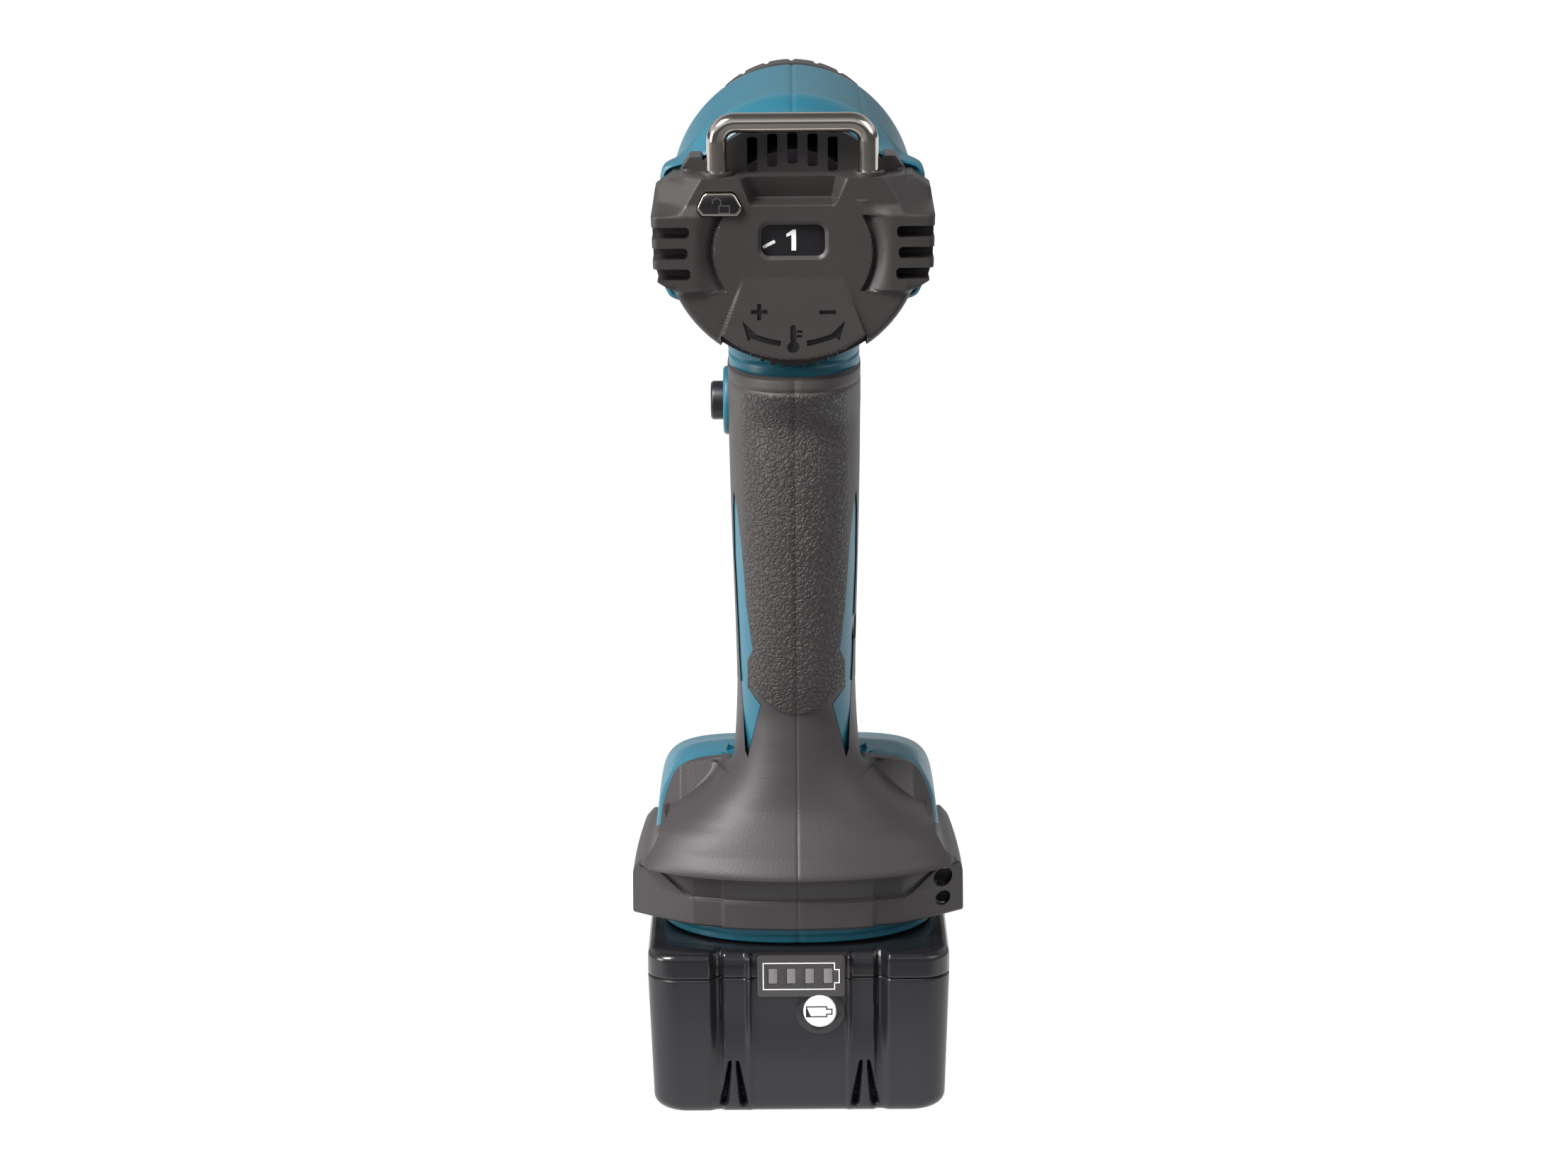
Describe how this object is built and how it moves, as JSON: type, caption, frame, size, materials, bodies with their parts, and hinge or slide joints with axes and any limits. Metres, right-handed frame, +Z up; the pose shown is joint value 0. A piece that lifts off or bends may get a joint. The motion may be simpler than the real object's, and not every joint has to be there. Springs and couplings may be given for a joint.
{
  "type": "cordless heat gun",
  "caption": "Pistol-grip cordless heat gun with steel nozzle, rear temperature dial, hanging hook and slide-on battery pack.",
  "frame": {"origin": "centre of the battery pack's flat underside", "axes": "+Z up, +Y towards the nozzle, the temperature dial faces -Y, +X to the right of a person looking along +Y"},
  "size_m": [0.0828, 0.162, 0.251],
  "materials": {
    "teal": "fine moulded texture",
    "dark_shell": "satin moulded",
    "grip_rubber": "pebbled soft rubber",
    "boot_rubber": "smooth soft rubber",
    "nickel": "polished nickel plate",
    "steel": "zinc plated",
    "heat_steel": "drawn stainless tube",
    "black_plastic": "satin black",
    "gloss_black": "glossy black",
    "pale_plastic": "satin white",
    "blue_plastic": "satin blue",
    "board": "solder mask",
    "ferrite": "sintered",
    "bronze": "machined",
    "copper": "enamelled winding",
    "mica": "pressed mica",
    "heater_wire": "oxidised wire",
    "lead": "insulated wire",
    "frame_plastic": "moulded grey",
    "gauge_panel": "printed film",
    "gauge_light": "unlit lamp window"
  },
  "bodies": {
    "tool": {"housing_left": "teal", "housing_right": "teal", "rear_cover": "dark_shell", "front_collar": "dark_shell", "grip_left": "grip_rubber", "grip_right": "grip_rubber", "boot_left": "boot_rubber", "boot_right": "boot_rubber", "housing_screws": "steel", "hook_button_spring": "steel", "potentiometer": "blue_plastic", "control_board": "board", "motor_can": "steel", "motor_magnets": "ferrite", "motor_endbell": "black_plastic", "motor_brushes": "ferrite", "motor_bushes": "bronze", "motor_bracket": "black_plastic", "air_guide": "black_plastic", "nozzle_tube": "heat_steel", "mica_sleeve": "mica", "heater_former": "mica", "heating_coil": "heater_wire", "thermal_cutout": "pale_plastic", "trigger_spring": "steel", "switch_body": "black_plastic", "power_leads": "lead", "terminal_block": "black_plastic", "terminal_blades": "bronze"},
    "rotor": {"motor_shaft": "steel", "armature": "copper", "commutator": "bronze", "fan_impeller": "black_plastic"},
    "dial": {"temperature_dial": "black_plastic", "pot_shaft": "pale_plastic"},
    "hook": {"hook": "nickel"},
    "hook_release": {"hook_button": "nickel"},
    "trigger": {"trigger": "black_plastic"},
    "lock_bolt": {"lock_bolt": "black_plastic"},
    "battery": {"battery_lower_case": "black_plastic", "battery_upper_case": "gloss_black", "battery_cells": "blue_plastic", "cell_frame": "frame_plastic", "cell_straps": "steel", "battery_board": "board", "battery_contacts": "bronze", "release_spring": "steel", "gauge_panel": "gauge_panel", "gauge_lights": "gauge_light", "battery_screws": "steel"},
    "pack_release": {"release_button": "black_plastic"},
    "gauge_check": {"check_button": "pale_plastic"}
  },
  "joints": [
    {"name": "rotor_spin", "type": "hinge", "parent": "tool", "child": "rotor", "pos_m": [0, 0, 0.22], "axis": [0, 1, 0], "continuous": true},
    {"name": "dial_turn", "type": "hinge", "parent": "tool", "child": "dial", "pos_m": [0, -0.0513, 0.2075], "axis": [0, 1, 0], "range_deg": [0, 240]},
    {"name": "hook_slide", "type": "slide", "parent": "tool", "child": "hook", "axis": [0, 0, 1], "range_m": [-0.007, 0]},
    {"name": "hook_release_press", "type": "slide", "parent": "tool", "child": "hook_release", "axis": [0, 1, 0], "range_m": [0, 0.001], "stiffness_N_per_m": 400, "springref_m": -0.001},
    {"name": "trigger_pull", "type": "slide", "parent": "tool", "child": "trigger", "axis": [0, -1, 0], "range_m": [0, 0.0065], "stiffness_N_per_m": 500, "springref_m": -0.003},
    {"name": "lock_bolt_slide", "type": "slide", "parent": "tool", "child": "lock_bolt", "axis": [1, 0, 0], "range_m": [0, 0.003]},
    {"name": "battery_slide", "type": "slide", "parent": "tool", "child": "battery", "axis": [0, 1, 0], "range_m": [0, 0.095]},
    {"name": "pack_release_press", "type": "slide", "parent": "battery", "child": "pack_release", "axis": [0, 0, -1], "range_m": [0, 0.003], "stiffness_N_per_m": 500, "springref_m": -0.0015},
    {"name": "gauge_check_press", "type": "slide", "parent": "battery", "child": "gauge_check", "axis": [0, 1, 0], "range_m": [0, 0.0006], "stiffness_N_per_m": 500, "springref_m": -0.001}
  ]
}
